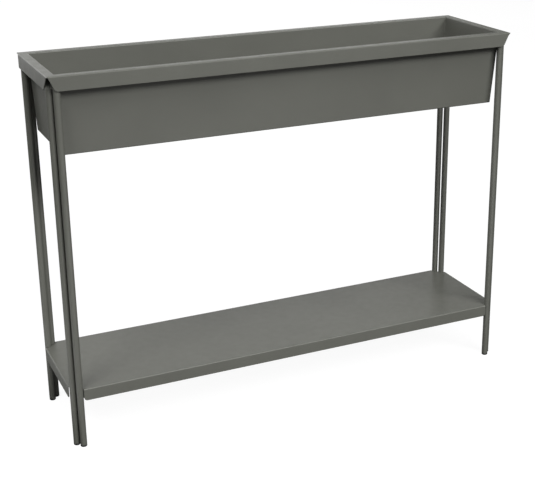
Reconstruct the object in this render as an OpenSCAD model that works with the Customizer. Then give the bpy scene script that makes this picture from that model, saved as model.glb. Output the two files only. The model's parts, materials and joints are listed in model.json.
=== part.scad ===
// Raised planter: a long sheet-steel trough that hangs by its rim on a stand of bent
// tube, with a low shelf between the legs.
// Millimetres, +Z up, the front faces -Y. The origin is on the floor, under the middle.

/* [Overall] */
// Length over the rim
planter_w = 1000; // [700:10:1200]
// Depth over the rim
planter_d = 254; // [220:1:320]
// Height of the rim above the floor
planter_h = 762; // [500:1:900]
// Thickness of every sheet
sheet_t = 1.5; // [1:0.1:2]
// Inside radius of the folds
fold_r = 0.8; // [0.5:0.1:1.5]

/* [Trough] */
// Height of the trough
trough_h = 157; // [120:1:200]
// Width of the flat rim
rim_w = 19.5; // [18.5:0.1:21]
// Height of the skirt that turns down from the rim
skirt_h = 28.2; // [24:0.1:40]
// How far each end wall leans in towards the floor
end_lean = 8.1; // [4:0.1:20]
// How far the front wall leans in towards the floor; the rear wall is upright
front_lean = 11; // [4:0.1:20]
// Radius of the rim's rear corners
rim_corner_r = 5; // [2:0.5:8]
// Radius of the drain holes
drain_r = 8; // [5:0.5:12]
// Distance between drain holes
drain_pitch = 300; // [100:10:330]

/* [Legs] */
// Outer radius of the tube
tube_r = 6.75; // [5:0.05:7]
// Wall of the tube
tube_t = 1.5; // [1:0.1:2]
// Centre-line radius of the tube's bends
bend_r = 20; // [16:1:30]
// End leg: distance of its axis inside the rim's end
end_leg_in = 8.8; // [8.6:0.1:9]
// End leg: distance of its axis inside the rim's front
end_leg_back = 22.2; // [22:0.1:24]
// Front leg: distance of its axis inside the rim's end
front_leg_in = 19.5; // [19:0.1:22]
// Front leg: distance of its axis inside the rim's front
front_leg_back = 9.8; // [9:0.1:10]
// Height of a foot glide's head
foot_h = 3.5; // [2:0.5:8]

/* [Shelf] */
// Height of the shelf's top
shelf_z = 127.5; // [80:0.5:250]
// Height of the shelf's turned-down edges
flange_h = 25.3; // [20:0.1:40]
// Half the shelf's length
shelf_x = 499; // [340:0.5:599]
// Half the shelf's depth
shelf_y = 122.5; // [100:0.5:155]
// Width of the hat channel's crown under the shelf
rib_w = 40; // [30:1:60]

/* [Hidden] */
$fn = 48;
fold_steps = 4;
gap = 0.3;                                    // clearance between the trough and the stand
rim_in_x = planter_w / 2 - rim_w;             // inner faces of the walls at the rim
rim_in_y = planter_d / 2 - rim_w;
floor_z = planter_h - trough_h;               // underside of the trough
floor_in_x = rim_in_x - end_lean;             // inner faces of the walls at the floor
floor_front_y = rim_in_y - front_lean;
hoop_z = planter_h - sheet_t - gap - tube_r;  // axis of the hoops' top runs
end_leg = [planter_w / 2 - end_leg_in, planter_d / 2 - end_leg_back];
front_leg = [planter_w / 2 - front_leg_in, planter_d / 2 - front_leg_back];
leg_gap = norm(front_leg - end_leg) - 2 * tube_r;
long_cut = [3.2, 16, 8];                      // a skirt's sloping end: where it starts and
mitre_cut = [1.5, 28.2, 0.5];                 // ends, in from the corner, and its lower radius
square_cut = [14, 14.5, 2];
corner_sum = 590;                             // x + y along the shelf's cut corners
flange_end_x = 473.4;                          // where the shelf's long and short edges end
flange_end_y = 97.2;
flange_corner_r = 6;
bracket_t = 3;
bracket_reach = [440, 62];                    // inner corner of a shelf bracket
bracket_edge = [495, 119];                    // its outer edges
tab_h = 20;
stud_r = 2.5;
stud_len = 13;
stud_spots = [[451, 106], [481, 74]];
nut_h = 4;
nut_af = 8;
stem_clear = 0.05;
ends = [["left", -1], ["right", 1]];
sides = [["front", -1], ["rear", 1]];
corners = [for (s = sides) for (e = ends) [str(s[0], "_", e[0]), e[1], s[1]]];
plugs = [["left", -1], ["centre", 0], ["right", 1]];

// --- Sheet metal: a folded sheet is its path's face, and the same face moved by its thickness

function unit(v) = v / norm(v);
function right_of(d) = [d.y, -d.x];

// The points of a corner at q between directions d1 and d2, rounded with radius r
function round_corner(q, d1, d2, r) =
    let (
        angle = acos(min(1, d1 * d2)),
        left = cross(d1, d2) > 0 ? 1 : -1,
        start = q - d1 * r * tan(angle / 2),
        centre = start - left * r * right_of(d1),
        arm = start - centre
    )
    [for (k = [0 : fold_steps])
        let (a = left * angle * k / fold_steps)
        centre + [arm.x * cos(a) - arm.y * sin(a), arm.x * sin(a) + arm.y * cos(a)]];

// One face of a folded sheet, moved by shift to the right of its path
function folded_face(path, shift) =
    let (last = len(path) - 1)
    concat(
        [path[0] + shift * right_of(unit(path[1] - path[0]))],
        [for (i = [1 : last - 1])
            let (
                d1 = unit(path[i] - path[i - 1]),
                d2 = unit(path[i + 1] - path[i]),
                q = path[i] + shift * (right_of(d1) + right_of(d2)) / (1 + d1 * d2),
                r = cross(d1, d2) > 0 ? fold_r + shift : fold_r + sheet_t - shift
            )
            each round_corner(q, d1, d2, r)],
        [path[last] + shift * right_of(unit(path[last] - path[last - 1]))]
    );

function backwards(list) = [for (i = [len(list) - 1 : -1 : 0]) list[i]];

module folded_sheet(path) {
    polygon(concat(folded_face(path, 0), backwards(folded_face(path, sheet_t))));
}

// A section drawn in Y and Z, run along X
module along_x(length) {
    rotate([90, 0, 90]) linear_extrude(length, center = true) children();
}

// A section drawn in X and Z, run along Y
module along_y(length) {
    rotate([90, 0, 0]) linear_extrude(length, center = true) children();
}

module both_ways_x() {
    children();
    mirror([1, 0, 0]) children();
}

module both_ways_y() {
    children();
    mirror([0, 1, 0]) children();
}

// --- Trough

// What is missing from a skirt's end: [distance in from the corner, height]
module skirt_end_gap(cut) {
    slope_top = [cut[0], planter_h - sheet_t];
    slope_low = [cut[1], planter_h - skirt_h];
    low = planter_h - skirt_h - 2;
    polygon(concat(
        [[-1, planter_h - sheet_t], slope_top],
        round_corner(slope_low, unit(slope_low - slope_top), [1, 0], cut[2]),
        [[cut[1] + 20, low], [-1, low]]
    ));
}

module long_skirt_cuts() {
    both_ways_y()
        both_ways_x()
            translate([planter_w / 2, -planter_d / 2, 0])
                mirror([1, 0, 0]) along_y(16) skirt_end_gap(long_cut);
}

module short_skirt_cuts() {
    both_ways_x() {
        translate([planter_w / 2, -planter_d / 2, 0]) along_x(16) skirt_end_gap(mitre_cut);
        translate([planter_w / 2, planter_d / 2, 0])
            mirror([0, 1, 0]) along_x(16) skirt_end_gap(square_cut);
    }
}

// The trough's outline from above, with its rear corners rounded
module rim_outline() {
    front_y = -planter_d / 2;
    straight = planter_w / 2 - rim_corner_r;
    translate([0, 0, planter_h - skirt_h - 1])
        linear_extrude(skirt_h + 2) {
            translate([-planter_w / 2, front_y])
                square([planter_w, planter_d - rim_corner_r]);
            translate([-straight, front_y]) square([2 * straight, planter_d]);
            for (e = ends)
                translate([e[1] * straight, planter_d / 2 - rim_corner_r]) circle(rim_corner_r);
        }
}

// The part of the rim outside the walls that belongs to the front and rear sheets
module long_rim_space() {
    wall_x = rim_in_x + sheet_t;
    wall_y = rim_in_y + sheet_t;
    both_ways_y()
        translate([0, 0, planter_h - skirt_h - 1])
            linear_extrude(skirt_h + 2)
                polygon([
                    [-wall_x, wall_y], [wall_x, wall_y],
                    [planter_w / 2, planter_d / 2], [-planter_w / 2, planter_d / 2]
                ]);
}

module short_rim_space() {
    wall_x = rim_in_x + sheet_t;
    wall_y = rim_in_y + sheet_t;
    translate([0, 0, planter_h - skirt_h - 1])
        linear_extrude(skirt_h + 2)
            polygon([
                [wall_x, -wall_y], [planter_w / 2, -planter_d / 2],
                [planter_w / 2, planter_d / 2], [wall_x, wall_y]
            ]);
}

module trough_wrap() {
    rim = [
        [planter_d / 2, planter_h - skirt_h], [planter_d / 2, planter_h], [rim_in_y, planter_h]
    ];
    floor_top = floor_z + sheet_t;
    front_to_rear = concat(
        [for (p = rim) [-p.x, p.y]],
        [[-floor_front_y, floor_top], [rim_in_y, floor_top]],
        backwards(rim)
    );
    color([0.40, 0.41, 0.38])
        difference() {
            intersection() {
                along_x(planter_w) folded_sheet(front_to_rear);
                union() {
                    along_y(2 * (rim_in_y + sheet_t)) polygon([
                        [-floor_in_x - sheet_t, floor_z], [floor_in_x + sheet_t, floor_z],
                        [rim_in_x + sheet_t, planter_h], [-rim_in_x - sheet_t, planter_h]
                    ]);
                    intersection() {
                        long_rim_space();
                        rim_outline();
                    }
                }
            }
            long_skirt_cuts();
            for (p = plugs)
                translate([p[1] * drain_pitch, 0, floor_z - 1])
                    cylinder(r = drain_r, h = sheet_t + 2);
        }
}

module end_panel(e) {
    path = [
        [floor_in_x, floor_z + sheet_t], [rim_in_x, planter_h],
        [planter_w / 2, planter_h], [planter_w / 2, planter_h - skirt_h]
    ];
    color([0.40, 0.41, 0.38])
        mirror([e < 0 ? 1 : 0, 0, 0])
            difference() {
                intersection() {
                    along_y(planter_d) folded_sheet(path);
                    union() {
                        translate([rim_in_x, 0, 0]) along_x(4 * end_lean) polygon([
                            [-floor_front_y, floor_z + sheet_t], [rim_in_y, floor_z + sheet_t],
                            [rim_in_y, planter_h], [-rim_in_y, planter_h]
                        ]);
                        intersection() {
                            short_rim_space();
                            rim_outline();
                        }
                    }
                }
                short_skirt_cuts();
            }
}

module drain_plug(place) {
    head_r = drain_r + 5;
    neck_r = drain_r - stem_clear;
    color([0.10, 0.10, 0.10])
        translate([place * drain_pitch, 0, floor_z]) {
            translate([0, 0, sheet_t]) cylinder(r = head_r, h = 1.5);
            translate([0, 0, sheet_t + 1.5]) cylinder(r1 = head_r, r2 = head_r - 2, h = 1);
            translate([0, 0, sheet_t + 2]) cylinder(r = 3.5, h = 5);
            translate([0, 0, -4]) cylinder(r = neck_r, h = sheet_t + 4.5);
            translate([0, 0, -7]) cylinder(r1 = neck_r - 2, r2 = neck_r, h = 3);
        }
}

// --- Stand

// A bent bar in X and Z: two legs and a top run, with its axis span apart
module bent_bar(span, r, start_z) {
    both_ways_x() {
        translate([span / 2, 0, start_z]) cylinder(r = r, h = hoop_z - bend_r - start_z);
        translate([span / 2 - bend_r, 0, hoop_z - bend_r])
            rotate([90, 0, 0])
                rotate_extrude(angle = 90) translate([bend_r, 0]) circle(r);
    }
    translate([bend_r - span / 2, 0, hoop_z])
        rotate([0, 90, 0]) cylinder(r = r, h = span - 2 * bend_r);
}

module hoop(span) {
    color([0.38, 0.39, 0.36])
        difference() {
            bent_bar(span, tube_r, foot_h);
            bent_bar(span, tube_r - tube_t, foot_h - 1);
        }
}

module long_hoop(s) {
    translate([0, s * front_leg.y, 0]) hoop(2 * front_leg.x);
}

module short_hoop(e) {
    translate([e * end_leg.x, 0, 0]) rotate([0, 0, 90]) hoop(2 * end_leg.y);
}

module leg_ties() {
    middle = (end_leg + front_leg) / 2;
    across = front_leg - end_leg;
    color([0.38, 0.39, 0.36])
        both_ways_x()
            both_ways_y()
                translate([middle.x, middle.y, planter_h - skirt_h + 8])
                    rotate([0, 0, atan2(across.y, across.x)])
                        cube([leg_gap + 0.3, 5, 12], center = true);
}

module foot(spot) {
    color([0.12, 0.12, 0.12])
        translate([spot.x, spot.y, 0]) {
            cylinder(r1 = tube_r - 0.9, r2 = tube_r - 0.1, h = 0.8);
            translate([0, 0, 0.8]) cylinder(r = tube_r - 0.1, h = foot_h - 0.8);
            translate([0, 0, foot_h]) cylinder(r = tube_r - tube_t, h = 10);
            translate([0, 0, foot_h + 10])
                cylinder(r1 = tube_r - tube_t, r2 = tube_r - tube_t - 1, h = 2);
        }
}

// --- Shelf

module leg_bores(clearance) {
    both_ways_x()
        both_ways_y()
            for (leg = [end_leg, front_leg])
                translate([leg.x, leg.y, shelf_z - flange_h - 10])
                    cylinder(r = tube_r + clearance, h = flange_h + 20);
}

// An upside-down U of sheet: half its width, and its turned-down edges
module shelf_section(half) {
    low = shelf_z - flange_h;
    folded_sheet([[-half, low], [-half, shelf_z], [half, shelf_z], [half, low]]);
}

// Rounds the lower corners of a turned-down edge that runs from -half to half
module flange_outline(half) {
    low = shelf_z - flange_h;
    corner = round_corner([half, low], [0, -1], [-1, 0], flange_corner_r);
    polygon(concat(
        [[-half, shelf_z], [half, shelf_z]],
        corner,
        backwards([for (p = corner) [-p.x, p.y]])
    ));
}

module shelf_tray() {
    fold = fold_r + sheet_t;
    x = shelf_x - fold;
    y = shelf_y - fold;
    color([0.43, 0.44, 0.41]) {
        difference() {
            translate([0, 0, shelf_z - sheet_t])
                linear_extrude(sheet_t)
                    polygon([
                        [x, corner_sum - x], [corner_sum - y, y],
                        [y - corner_sum, y], [-x, corner_sum - x],
                        [-x, x - corner_sum], [y - corner_sum, -y],
                        [corner_sum - y, -y], [x, x - corner_sum]
                    ]);
            leg_bores(0.2);
        }
        intersection() {
            along_x(2 * flange_end_x) shelf_section(shelf_y);
            along_y(2 * shelf_y + 2) flange_outline(flange_end_x);
        }
        intersection() {
            along_y(2 * flange_end_y) shelf_section(shelf_x);
            along_x(2 * shelf_x + 2) flange_outline(flange_end_y);
        }
    }
}

module shelf_rib() {
    rib_h = 12;
    foot_w = 12;
    top = shelf_z - sheet_t;
    half = rib_w / 2;
    length = 2 * (bracket_reach.x - 10);
    color([0.40, 0.41, 0.38])
        along_x(length)
            folded_sheet([
                [-half - foot_w, top], [-half, top], [-half + 4, top - rib_h],
                [half - 4, top - rib_h], [half, top], [half + foot_w, top]
            ]);
}

// A plate under the shelf's corner and a tab along the cut edge, both coped to the legs
module bracket(e, s) {
    top = shelf_z - sheet_t;
    sum = corner_sum - 1;
    color([0.38, 0.39, 0.36])
        mirror([e < 0 ? 1 : 0, 0, 0])
            mirror([0, s < 0 ? 1 : 0, 0])
                difference() {
                    union() {
                        translate([0, 0, top - bracket_t])
                            linear_extrude(bracket_t)
                                polygon([
                                    bracket_reach, [bracket_edge.x, bracket_reach.y],
                                    [bracket_edge.x, sum - bracket_edge.x],
                                    [sum - bracket_edge.y, bracket_edge.y],
                                    [bracket_reach.x, bracket_edge.y]
                                ]);
                        translate([0, 0, top - tab_h])
                            linear_extrude(tab_h)
                                polygon([
                                    [bracket_edge.x, sum - bracket_edge.x],
                                    [sum - bracket_edge.y, bracket_edge.y],
                                    [sum - bracket_edge.y - bracket_t, bracket_edge.y],
                                    [bracket_edge.x, sum - bracket_edge.x - bracket_t]
                                ]);
                    }
                    leg_bores(0);
                    for (spot = stud_spots)
                        translate([spot.x, spot.y, top - bracket_t - 1])
                            cylinder(r = stud_r + 0.3, h = bracket_t + 2);
                }
}

module at_stud_spots() {
    both_ways_x()
        both_ways_y()
            for (spot = stud_spots) translate([spot.x, spot.y, 0]) children();
}

module shelf_studs() {
    color([0.72, 0.72, 0.72])
        at_stud_spots()
            translate([0, 0, shelf_z - sheet_t - stud_len]) cylinder(r = stud_r, h = stud_len);
}

module shelf_nuts() {
    color([0.72, 0.72, 0.72])
        at_stud_spots()
            translate([0, 0, shelf_z - sheet_t - bracket_t - nut_h])
                difference() {
                    cylinder(r = nut_af / sqrt(3), h = nut_h, $fn = 6);
                    translate([0, 0, -1]) cylinder(r = stud_r, h = nut_h + 2);
                }
}

trough_wrap();
for (e = ends) end_panel(e[1]);
for (p = plugs) drain_plug(p[1]);
for (s = sides) long_hoop(s[1]);
for (e = ends) short_hoop(e[1]);
leg_ties();
shelf_tray();
shelf_rib();
shelf_studs();
shelf_nuts();
for (c = corners) bracket(c[1], c[2]);
for (c = corners)
    foot([c[1] * front_leg.x, c[2] * front_leg.y]);
for (c = corners)
    foot([c[1] * end_leg.x, c[2] * end_leg.y]);
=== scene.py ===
import bmesh
import bpy
import json
import math
from mathutils import Matrix, Vector


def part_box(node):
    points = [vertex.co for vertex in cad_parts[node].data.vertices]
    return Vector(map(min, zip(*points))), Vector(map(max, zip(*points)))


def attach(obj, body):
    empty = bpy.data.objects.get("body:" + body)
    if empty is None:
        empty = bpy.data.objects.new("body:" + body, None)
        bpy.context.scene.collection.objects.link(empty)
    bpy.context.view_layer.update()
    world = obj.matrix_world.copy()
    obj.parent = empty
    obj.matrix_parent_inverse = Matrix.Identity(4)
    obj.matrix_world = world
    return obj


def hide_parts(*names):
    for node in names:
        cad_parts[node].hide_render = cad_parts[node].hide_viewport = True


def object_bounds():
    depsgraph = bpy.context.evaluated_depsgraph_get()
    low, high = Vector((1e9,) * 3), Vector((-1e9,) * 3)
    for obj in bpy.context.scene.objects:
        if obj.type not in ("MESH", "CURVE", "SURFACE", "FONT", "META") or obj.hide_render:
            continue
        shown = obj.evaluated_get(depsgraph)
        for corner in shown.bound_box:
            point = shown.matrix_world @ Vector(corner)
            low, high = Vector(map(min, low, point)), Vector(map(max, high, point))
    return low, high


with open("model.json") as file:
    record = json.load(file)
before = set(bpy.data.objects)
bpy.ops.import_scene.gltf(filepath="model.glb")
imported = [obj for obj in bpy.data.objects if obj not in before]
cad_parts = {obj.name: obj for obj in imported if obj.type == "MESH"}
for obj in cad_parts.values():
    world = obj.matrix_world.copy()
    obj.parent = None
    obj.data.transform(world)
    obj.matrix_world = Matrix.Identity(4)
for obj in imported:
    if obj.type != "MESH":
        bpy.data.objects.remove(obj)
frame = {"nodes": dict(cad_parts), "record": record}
cad_low, cad_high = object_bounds()
nodes = frame["nodes"]

MM = 0.001


# ---------------------------------------------------------------- camera

def add_camera():
    """Looks at the planter from the front left and a little above."""
    data = bpy.data.cameras.new("camera")
    data.sensor_width = 36
    data.lens = 77.65
    data.shift_x = -0.0900
    data.shift_y = -0.0483
    camera = bpy.data.objects.new("camera", data)
    bpy.context.scene.collection.objects.link(camera)
    yaw = math.radians(25.446)
    pitch = math.radians(-19.225)
    roll = math.radians(-0.144)
    turn = (
        Matrix.Rotation(-yaw, 4, "Z")
        @ Matrix.Rotation(math.pi / 2 + pitch, 4, "X")
        @ Matrix.Rotation(roll, 4, "Z")
    )
    place = Vector((-0.9374, -2.1715, 1.2123))
    camera.matrix_world = Matrix.Translation(place) @ turn
    bpy.context.scene.camera = camera


# ---------------------------------------------------------------- materials

def shader(name):
    """A new material's node tree, its Principled shader and its texture coordinates."""
    material = bpy.data.materials.new(name)
    material.use_nodes = True
    tree = material.node_tree
    principled = tree.nodes["Principled BSDF"]
    place = tree.nodes.new("ShaderNodeTexCoord")
    return material, tree, principled, place.outputs["Object"]


def noise(tree, where, scale, detail=2.0, roughness=0.5):
    node = tree.nodes.new("ShaderNodeTexNoise")
    node.inputs["Scale"].default_value = scale
    node.inputs["Detail"].default_value = detail
    node.inputs["Roughness"].default_value = roughness
    tree.links.new(where, node.inputs["Vector"])
    return node.outputs["Fac"]


def remap(tree, value, low, high, from_low=0.3, from_high=0.7):
    node = tree.nodes.new("ShaderNodeMapRange")
    node.inputs["From Min"].default_value = from_low
    node.inputs["From Max"].default_value = from_high
    node.inputs["To Min"].default_value = low
    node.inputs["To Max"].default_value = high
    tree.links.new(value, node.inputs["Value"])
    return node.outputs["Result"]


def mix_colors(tree, factor, a, b):
    node = tree.nodes.new("ShaderNodeMix")
    node.data_type = "RGBA"
    node.inputs["A"].default_value = (*a, 1)
    node.inputs["B"].default_value = (*b, 1)
    tree.links.new(factor, node.inputs["Factor"])
    return node.outputs["Result"]


def bump(tree, height, strength, distance, below=None):
    node = tree.nodes.new("ShaderNodeBump")
    node.inputs["Strength"].default_value = strength
    node.inputs["Distance"].default_value = distance
    tree.links.new(height, node.inputs["Height"])
    if below is not None:
        tree.links.new(below, node.inputs["Normal"])
    return node.outputs["Normal"]


def powder_coat(name, color, roughness):
    """Satin powder coat: cloudy tone, uneven sheen and the fine orange peel of cured powder."""
    material, tree, principled, where = shader(name)
    light = tuple(c * 1.05 for c in color)
    dark = tuple(c * 0.95 for c in color)
    cloud = remap(tree, noise(tree, where, scale=7.0, detail=4.0), 0, 1)
    tree.links.new(mix_colors(tree, cloud, dark, light), principled.inputs["Base Color"])
    patches = noise(tree, where, scale=55.0, detail=3.0)
    sheen = remap(tree, patches, roughness, roughness + 0.08)
    tree.links.new(sheen, principled.inputs["Roughness"])
    peel_height = noise(tree, where, scale=420.0)
    peel = bump(tree, peel_height, strength=0.10, distance=0.4 * MM)
    grain_height = noise(tree, where, scale=2600.0, detail=1.0)
    grain = bump(tree, grain_height, strength=0.12, distance=0.1 * MM, below=peel)
    tree.links.new(grain, principled.inputs["Normal"])
    principled.inputs["Specular IOR Level"].default_value = 0.5
    return material


def rubber(name, color, roughness):
    """Moulded rubber or plastic: matte, with a faint grain."""
    material, tree, principled, where = shader(name)
    cloud = remap(tree, noise(tree, where, scale=90.0, detail=3.0), 0, 1)
    light = tuple(c * 1.3 for c in color)
    tree.links.new(mix_colors(tree, cloud, color, light), principled.inputs["Base Color"])
    patches = noise(tree, where, scale=300.0)
    sheen = remap(tree, patches, roughness - 0.06, roughness + 0.06)
    tree.links.new(sheen, principled.inputs["Roughness"])
    grain_height = noise(tree, where, scale=1800.0)
    grain = bump(tree, grain_height, strength=0.15, distance=0.2 * MM)
    tree.links.new(grain, principled.inputs["Normal"])
    return material


def zinc(name):
    """Bright zinc plating with faint clouding."""
    material, tree, principled, where = shader(name)
    dark = (0.52, 0.53, 0.55)
    light = (0.66, 0.66, 0.67)
    cloud = remap(tree, noise(tree, where, scale=160.0, detail=3.0), 0, 1)
    tree.links.new(mix_colors(tree, cloud, dark, light), principled.inputs["Base Color"])
    principled.inputs["Metallic"].default_value = 1.0
    sheen = remap(tree, noise(tree, where, scale=700.0), 0.24, 0.42)
    tree.links.new(sheen, principled.inputs["Roughness"])
    return material


COAT = (0.115, 0.117, 0.102)
COAT_ROUGHNESS = 0.40
# The paler colour for the rounded edges below is a painted highlight.
PAINTED_EDGE_HIGHLIGHT = (0.122, 0.124, 0.108)
EDGE_ROUGHNESS = 0.55
looks = {
    "trough_coat": powder_coat("trough_powder_coat", COAT, COAT_ROUGHNESS),
    "leg_coat": powder_coat("leg_powder_coat", COAT, COAT_ROUGHNESS),
    "shelf_coat": powder_coat("shelf_powder_coat", COAT, COAT_ROUGHNESS),
    "zinc": zinc("zinc_plate"),
    "foot_plastic": rubber("foot_plastic", (0.012, 0.012, 0.012), 0.55),
    "plug_rubber": rubber("plug_rubber", (0.010, 0.010, 0.010), 0.65),
}
# The material on the rounded edges: a rougher coat in that paler colour, a painted highlight.
edge_coat_with_painted_highlight = powder_coat("coat_on_edges_painted_highlight", PAINTED_EDGE_HIGHLIGHT, EDGE_ROUGHNESS)
slot_of = {s["node"]: s["material_slot"] for s in frame["record"]["subparts"]}


# ---------------------------------------------------------------- CAD pieces

METAL_EDGE = 0.45 * MM       # width of the rounding on the coated sheet and tubes
SMALL_EDGE = 0.25 * MM       # and on the small zinc, rubber and plastic pieces


def finish_node(name, edge_width):
    """Gives a CAD node its material and rounds its edges, which get a rougher coat whose paler
    colour is a painted highlight.
    """
    piece = nodes[name]
    slot = slot_of[name]
    piece.data.materials.clear()
    piece.data.materials.append(looks[slot])
    coated = slot.endswith("coat")
    if coated:
        piece.data.materials.append(edge_coat_with_painted_highlight)
    weld = piece.modifiers.new("join_faces", "WELD")
    weld.merge_threshold = 0.01 * MM
    rounding = piece.modifiers.new("round_edges", "BEVEL")
    rounding.width = edge_width
    rounding.segments = 2
    rounding.limit_method = "ANGLE"
    rounding.angle_limit = math.radians(32)
    if coated:
        # the rounded edges take the paler material, a painted highlight
        rounding.material = 1
    normals = piece.modifiers.new("even_normals", "WEIGHTED_NORMAL")
    normals.keep_sharp = False


for name in nodes:
    small = slot_of[name] in ("zinc", "plug_rubber", "foot_plastic")
    finish_node(name, SMALL_EDGE if small else METAL_EDGE)


# ---------------------------------------------------------------- added pieces

SHEET = 1.5 * MM             # thickness of the trough's and the shelf's sheet
RIM_W = 19.5 * MM            # width of the trough's rim
FRONT_LEAN = 11 * MM         # how far the front wall leans in towards the trough's floor
END_LEAN = 8.1 * MM          # and the end walls
BRACKET_T = 3 * MM           # thickness of a shelf bracket
TAB_H = 20 * MM              # height of its turned-down tab
CUT_LINE = 589 * MM          # x + y along the outer face of a shelf bracket
STUD_R = 2.5 * MM
STUD_ROOT_R = 0.86 * STUD_R  # at the bottom of the thread
STUD_TIP_R = 0.8 * STUD_R
STUD_LEN = 13 * MM
STUD_PITCH = 0.8 * MM
STUD_SPOTS = [(451 * MM, 106 * MM), (481 * MM, 74 * MM)]


def add_piece(name, bm, slot, body):
    """Makes an object of the mesh, in its slot's material, that rides on a body."""
    bmesh.ops.recalc_face_normals(bm, faces=bm.faces)
    mesh = bpy.data.meshes.new(name)
    bm.to_mesh(mesh)
    bm.free()
    mesh.shade_smooth()
    mesh.materials.append(looks[slot])
    piece = bpy.data.objects.new(name, mesh)
    bpy.context.scene.collection.objects.link(piece)
    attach(piece, body)
    return piece


def join_rings(bm, rings):
    """A closed skin over rings of vertices, in order, with a cap on each end."""
    sides = len(rings[0])
    for one, two in zip(rings, rings[1:]):
        for k in range(sides):
            n = (k + 1) % sides
            bm.faces.new((one[k], one[n], two[n], two[k]))
    bm.faces.new(rings[0])
    bm.faces.new(rings[-1])


def round_turns(sides):
    """The angles of a ring's vertices."""
    return [2 * math.pi * k / sides for k in range(sides)]


def sweep(bm, points, radius, ripple=0.0):
    """A closed round bead along points; ripple makes it swell and shrink as hand weld does."""
    turns = round_turns(10)
    wave = 2.1                   # radians of ripple from one point to the next
    rings = []
    last = len(points) - 1
    for i, point in enumerate(points):
        ahead = (points[min(i + 1, last)] - points[max(i - 1, 0)]).normalized()
        reference = Vector((1, 0, 0)) if abs(ahead.z) > 0.7 else Vector((0, 0, 1))
        side = ahead.cross(reference).normalized()
        lift = side.cross(ahead)
        taper = (0.5, 0.85, 1.0)[min(i, last - i, 2)]
        size = radius * taper * (1 + ripple * math.sin(wave * i))
        rings.append([
            bm.verts.new(point + size * (math.cos(t) * side + math.sin(t) * lift)) for t in turns
        ])
    join_rings(bm, rings)


def between(a, b, step):
    """Points from a to b, about step apart."""
    count = max(3, round((b - a).length / step))
    return [a.lerp(b, k / count) for k in range(count + 1)]


def leg_axes():
    """The end leg's and the long leg's axis in the right rear corner, and the tube's radius."""
    end_low, end_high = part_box("hoop_right")
    long_low, long_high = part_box("hoop_rear")
    radius = (end_high[0] - end_low[0]) / 2
    end_leg = Vector(((end_low[0] + end_high[0]) / 2, end_high[1] - radius, 0))
    long_leg = Vector((long_high[0] - radius, (long_low[1] + long_high[1]) / 2, 0))
    return end_leg, long_leg, radius


def add_leg_welds():
    """Beads where the shelf's brackets and the ties meet the tubes, in all four corners."""
    end_leg, long_leg, tube_r = leg_axes()
    shelf_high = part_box("shelf_tray")[1][2]
    tab_top = shelf_high - SHEET - BRACKET_T
    tab_low = shelf_high - SHEET - TAB_H
    tie_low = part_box("leg_ties")[0][2]
    tie_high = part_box("leg_ties")[1][2]
    inward = math.radians(225)
    bead = 1.1 * MM
    step = 0.8 * MM
    ripple = 0.14
    half_tie = 2.5 * MM          # half of a tie's thickness
    arc_steps = 6
    paths = []
    for leg in (end_leg, long_leg):
        reach = (leg.x + leg.y - CUT_LINE) / math.sqrt(2)
        spread = math.acos(reach / tube_r)
        for angle in (inward - spread, inward + spread):
            edge = leg + tube_r * Vector((math.cos(angle), math.sin(angle), 0))
            low = edge + Vector((0, 0, tab_low))
            high = edge + Vector((0, 0, tab_top))
            paths.append(between(low, high, step))
        arc = [inward + spread * k / arc_steps for k in range(-arc_steps, arc_steps + 1)]
        paths.append([
            leg + Vector((tube_r * math.cos(a), tube_r * math.sin(a), tab_low)) for a in arc
        ])
    across = (long_leg - end_leg).normalized()
    aside = Vector((-across.y, across.x, 0)) * half_tie
    for leg, towards in ((end_leg, across), (long_leg, -across)):
        for shift in (aside, -aside):
            foot = leg + towards * math.sqrt(tube_r ** 2 - shift.length ** 2) + shift
            low = foot + Vector((0, 0, tie_low))
            high = foot + Vector((0, 0, tie_high))
            paths.append(between(low, high, step))
    bm = bmesh.new()
    for x in (-1, 1):
        for y in (-1, 1):
            for path in paths:
                sweep(bm, [Vector((p.x * x, p.y * y, p.z)) for p in path], bead, ripple)
    add_piece("leg_weld_beads", bm, "leg_coat", "stand")


def add_trough_seams():
    """The fine sealed fillets in the trough's inner corners, where its end walls are welded in."""
    low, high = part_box("trough_wrap")
    top = high[2] - 2 * SHEET
    floor_top = low[2] + SHEET
    rise = (top - floor_top) / (high[2] - floor_top)
    rim_x = high[0] - RIM_W
    rim_y = high[1] - RIM_W
    fillet = 1.3 * MM
    step = 5 * MM
    bm = bmesh.new()
    for x in (-1, 1):
        corners = []
        for y, lean in ((-1, FRONT_LEAN), (1, 0)):
            at_floor = Vector((x * (rim_x - END_LEAN), y * (rim_y - lean), floor_top))
            at_rim = Vector((x * rim_x, y * rim_y, high[2]))
            corners.append(at_floor)
            sweep(bm, between(at_floor, at_floor.lerp(at_rim, rise), step), fillet)
        sweep(bm, between(corners[0], corners[1], step), fillet)
    add_piece("trough_corner_seams", bm, "trough_coat", "trough")


def add_threaded_studs():
    """The shelf's weld studs with their threads, in place of the plain CAD cylinders."""
    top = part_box("shelf_studs")[1][2]
    turns = round_turns(20)
    profile = [(STUD_R, 0)]
    for k in range(int(STUD_LEN / STUD_PITCH)):
        profile.append((STUD_R, -(k + 0.3) * STUD_PITCH))
        profile.append((STUD_ROOT_R, -(k + 0.8) * STUD_PITCH))
    profile.append((STUD_TIP_R, -STUD_LEN))
    bm = bmesh.new()
    for x in (-1, 1):
        for y in (-1, 1):
            for spot in STUD_SPOTS:
                rings = []
                for r, z in profile:
                    rings.append([
                        bm.verts.new((
                            x * spot[0] + r * math.cos(t), y * spot[1] + r * math.sin(t), top + z
                        )) for t in turns
                    ])
                join_rings(bm, rings)
    studs = add_piece("threaded_studs", bm, "zinc", "stand")
    studs.data.shade_flat()
    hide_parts("shelf_studs")


add_leg_welds()
add_trough_seams()
add_threaded_studs()


# ---------------------------------------------------------------- stage

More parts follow.
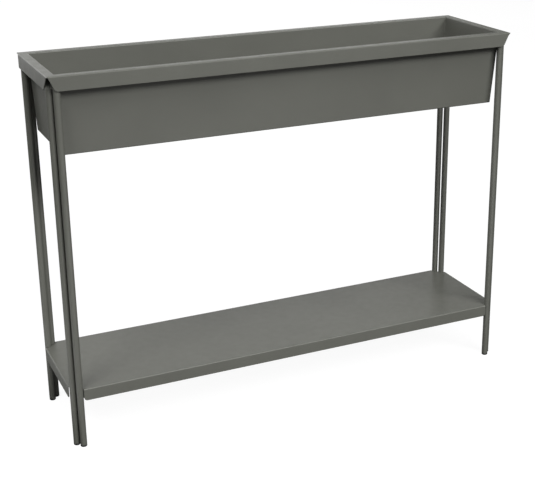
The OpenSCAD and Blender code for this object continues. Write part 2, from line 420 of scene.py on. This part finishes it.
def add_floor():
    """A pale sheet that shows soft shadows, and sends no light back up onto the object."""
    half = 14   # metres
    mesh = bpy.data.meshes.new("floor")
    mesh.from_pydata(
        [(-half, -half, 0), (half, -half, 0), (half, half, 0), (-half, half, 0)],
        [], [(0, 1, 2, 3)],
    )
    floor = bpy.data.objects.new("floor", mesh)
    bpy.context.scene.collection.objects.link(floor)
    material, tree, principled, where = shader("pale_floor")
    dark = (0.11, 0.11, 0.11)
    light = (0.12, 0.12, 0.12)
    cloud = remap(tree, noise(tree, where, scale=1.5), 0, 1)
    tree.links.new(mix_colors(tree, cloud, dark, light), principled.inputs["Base Color"])
    principled.inputs["Roughness"].default_value = 0.9
    principled.inputs["Specular IOR Level"].default_value = 0.0
    principled.inputs["Emission Color"].default_value = (1, 1, 1, 1)
    principled.inputs["Emission Strength"].default_value = 0.93
    mesh.materials.append(material)
    floor.visible_diffuse = False
    floor.visible_glossy = False


def add_world():
    """A pale backdrop that gives almost no light, so the soft boxes shape the object."""
    world = bpy.data.worlds.new("studio")
    world.use_nodes = True
    bpy.context.scene.world = world
    tree = world.node_tree
    background = tree.nodes["Background"]
    background.inputs["Color"].default_value = (1, 1, 1, 1)
    path = tree.nodes.new("ShaderNodeLightPath")
    to_object = 0.02
    to_camera = 0.92
    level = remap(tree, path.outputs["Is Camera Ray"], to_object, to_camera, 0, 1)
    tree.links.new(level, background.inputs["Strength"])


def add_light(name, size, power, place, aim):
    """A soft box that the camera doesn't see, facing along aim."""
    data = bpy.data.lights.new(name, "AREA")
    data.shape = "RECTANGLE"
    data.size, data.size_y = size
    data.energy = power
    light = bpy.data.objects.new(name, data)
    bpy.context.scene.collection.objects.link(light)
    light.visible_camera = False
    turn = aim.to_track_quat("-Z", "Y").to_matrix().to_4x4()
    light.matrix_world = Matrix.Translation(place) @ turn


def add_soft_box(name, azimuth, elevation, power, size=1.9):
    """A large soft box aimed just above the object's middle; azimuth 0 is in front, 90 right."""
    distance = 6.0   # metres, as size is
    around = math.radians(azimuth)
    up = math.radians(elevation)
    level = math.cos(up)
    away = Vector((math.sin(around) * level, -math.cos(around) * level, math.sin(up)))
    middle = Vector((0, 0, 0.6 * cad_high[2]))
    add_light(name, (size, size), power, middle + distance * away, -away)


def add_low_fills():
    """Weak light close to the floor, which lifts the shelf's turned-down edges."""
    front = Vector((0, -0.95, 0.12))
    add_light("fill_front", (1.6, 0.2), 2.2, front, Vector((0, 1, 0)))
    left = Vector((-1.05, 0, 0.01))
    add_light("fill_left", (0.9, 0.9), 2.4, left, Vector((0, 0, 1)))


add_camera()
add_floor()
add_world()
add_soft_box("key_right", 30, 32, 185)
add_soft_box("key_front", 8, 40, 155)
add_soft_box("key_left", -55, 45, 105)
add_soft_box("key_left_high", -60, 60, 150, 3)
add_soft_box("behind_left", -150, 15, 125, 5)
add_soft_box("behind", 180, 15, 26, 2.4)
add_soft_box("behind_right", 155, 16, 25, 2.4)
add_low_fills()
bpy.context.scene.view_settings.view_transform = "Standard"
